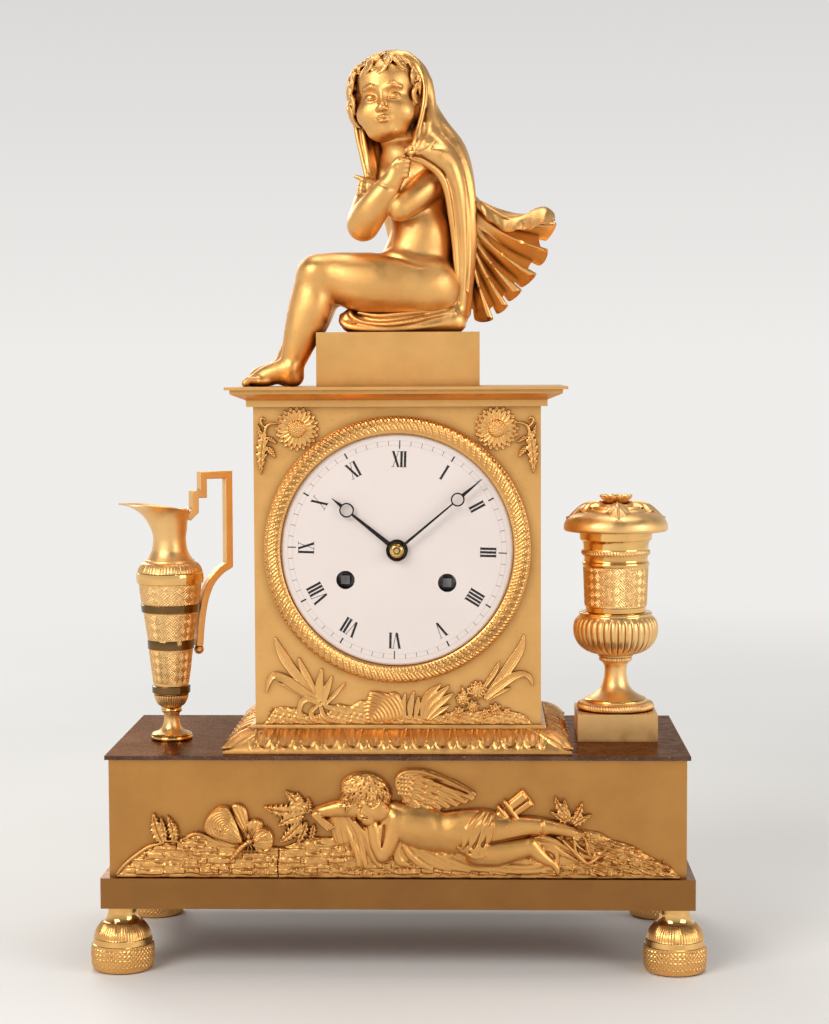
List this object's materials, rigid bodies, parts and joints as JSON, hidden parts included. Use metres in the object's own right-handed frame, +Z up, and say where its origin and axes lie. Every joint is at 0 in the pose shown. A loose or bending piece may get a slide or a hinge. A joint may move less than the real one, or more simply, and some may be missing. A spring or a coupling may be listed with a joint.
{
  "type": "mantel clock",
  "caption": "Gilt bronze mantel clock: round enamel dial in a square case, seated draped child on top, ewer and urn on a stepped base with a cast relief.",
  "frame": {"origin": "middle of the footprint, at the level of the foot bottoms", "axes": "+X to the right seen from the dial side, +Y to the back, +Z up"},
  "size_m": [0.2594, 0.1208, 0.3899],
  "materials": {
    "gilt": "mercury-gilt bronze, matte grounds and burnished edges",
    "patina": "dark brown patinated bronze, polished",
    "enamel": "white enamel on copper with black numerals",
    "blued_steel": "darkened steel",
    "brass": "lacquer-free clock brass",
    "steel": "bright steel",
    "bell_metal": "turned bell metal"
  },
  "bodies": {
    "root": {"foot_front_left": "gilt", "foot_back_left": "gilt", "foot_front_right": "gilt", "foot_back_right": "gilt", "base_tray": "gilt", "base_front": "gilt", "base_back": "gilt", "base_left": "gilt", "base_right": "gilt", "base_relief": "gilt", "plinth_moulding": "gilt", "case_front": "gilt", "case_left": "gilt", "case_right": "gilt", "case_back": "gilt", "cornice": "gilt", "spandrel_left": "gilt", "spandrel_right": "gilt", "foliage_mount": "gilt", "bezel": "gilt", "figure_block": "gilt", "figure_body": "gilt", "figure_mantle": "gilt", "ewer_foot": "gilt", "ewer_body": "gilt", "ewer_handle": "gilt", "urn_pedestal": "gilt", "urn_foot": "gilt", "urn_bowl": "gilt", "urn_barrel": "gilt", "urn_lid": "gilt", "base_slab": "patina", "dial": "enamel", "front_plate": "brass", "back_plate": "brass", "pillar_1": "brass", "pillar_2": "brass", "pillar_3": "brass", "pillar_4": "brass", "bell_stand": "steel", "bell": "bell_metal"},
    "centre": {"centre_wheel": "brass", "cannon_pinion": "brass", "minute_hand": "blued_steel", "hand_collet": "brass"},
    "hour": {"hour_wheel": "brass", "hour_hand": "blued_steel"},
    "minute_work": {"minute_wheel": "brass"},
    "second": {"second_wheel": "brass"},
    "going_drum": {"going_barrel": "brass"},
    "third": {"third_wheel": "brass"},
    "escape": {"escape_wheel": "brass"},
    "going_arbor": {"going_winding_arbor": "steel"},
    "strike_arbor": {"strike_winding_arbor": "steel"},
    "strike_drum": {"strike_barrel": "brass"},
    "pendulum": {"pendulum": "brass", "pallets": "steel"},
    "hammer": {"hammer": "steel"},
    "rear_door": {"rear_door": "gilt"}
  },
  "joints": [
    {"name": "minute_hand_turn", "type": "hinge", "parent": "root", "child": "centre", "pos_m": [0, 0, 0.176], "axis": [0, 1, 0], "continuous": true},
    {"name": "hour_hand_turn", "type": "hinge", "parent": "root", "child": "hour", "pos_m": [0, 0, 0.176], "axis": [0, 1, 0], "continuous": true},
    {"name": "minute_wheel_turn", "type": "hinge", "parent": "root", "child": "minute_work", "pos_m": [0.00036, 0, 0.18799], "axis": [0, 1, 0], "continuous": true},
    {"name": "second_wheel_turn", "type": "hinge", "parent": "root", "child": "second", "pos_m": [0.01211, 0, 0.18302], "axis": [0, 1, 0], "continuous": true},
    {"name": "going_barrel_turn", "type": "hinge", "parent": "root", "child": "going_drum", "pos_m": [0.021, 0, 0.16217], "axis": [0, 1, 0], "continuous": true},
    {"name": "third_wheel_turn", "type": "hinge", "parent": "root", "child": "third", "pos_m": [-0.00351, 0, 0.1881], "axis": [0, 1, 0], "continuous": true},
    {"name": "escape_wheel_turn", "type": "hinge", "parent": "root", "child": "escape", "pos_m": [0.00067, 0, 0.19849], "axis": [0, 1, 0], "continuous": true},
    {"name": "going_wind", "type": "hinge", "parent": "root", "child": "going_arbor", "pos_m": [0.021, 0, 0.16217], "axis": [0, 1, 0], "continuous": true},
    {"name": "strike_wind", "type": "hinge", "parent": "root", "child": "strike_arbor", "pos_m": [-0.02178, 0, 0.16344], "axis": [0, 1, 0], "continuous": true},
    {"name": "strike_barrel_turn", "type": "hinge", "parent": "root", "child": "strike_drum", "pos_m": [-0.02178, 0, 0.16344], "axis": [0, 1, 0], "continuous": true},
    {"name": "pendulum_swing", "type": "hinge", "parent": "root", "child": "pendulum", "pos_m": [0.00095, 0, 0.20799], "axis": [0, 1, 0], "range_deg": [-4, 4]},
    {"name": "hammer_lift", "type": "hinge", "parent": "root", "child": "hammer", "pos_m": [-0.03334, 0, 0.16498], "axis": [0, 1, 0], "range_deg": [-12, 2]},
    {"name": "rear_door_swing", "type": "hinge", "parent": "root", "child": "rear_door", "pos_m": [0.0525, 0.0372, 0.176], "axis": [0, 0, -1], "range_deg": [0, 110]}
  ],
  "couplings": [
    {"joint": "hour_hand_turn", "follows": "minute_hand_turn", "ratio": 0.083333},
    {"joint": "minute_wheel_turn", "follows": "minute_hand_turn", "ratio": -0.33333},
    {"joint": "second_wheel_turn", "follows": "minute_hand_turn", "ratio": -0.25},
    {"joint": "going_barrel_turn", "follows": "minute_hand_turn", "ratio": 0.083333},
    {"joint": "third_wheel_turn", "follows": "minute_hand_turn", "ratio": -3},
    {"joint": "escape_wheel_turn", "follows": "minute_hand_turn", "ratio": 9}
  ]
}
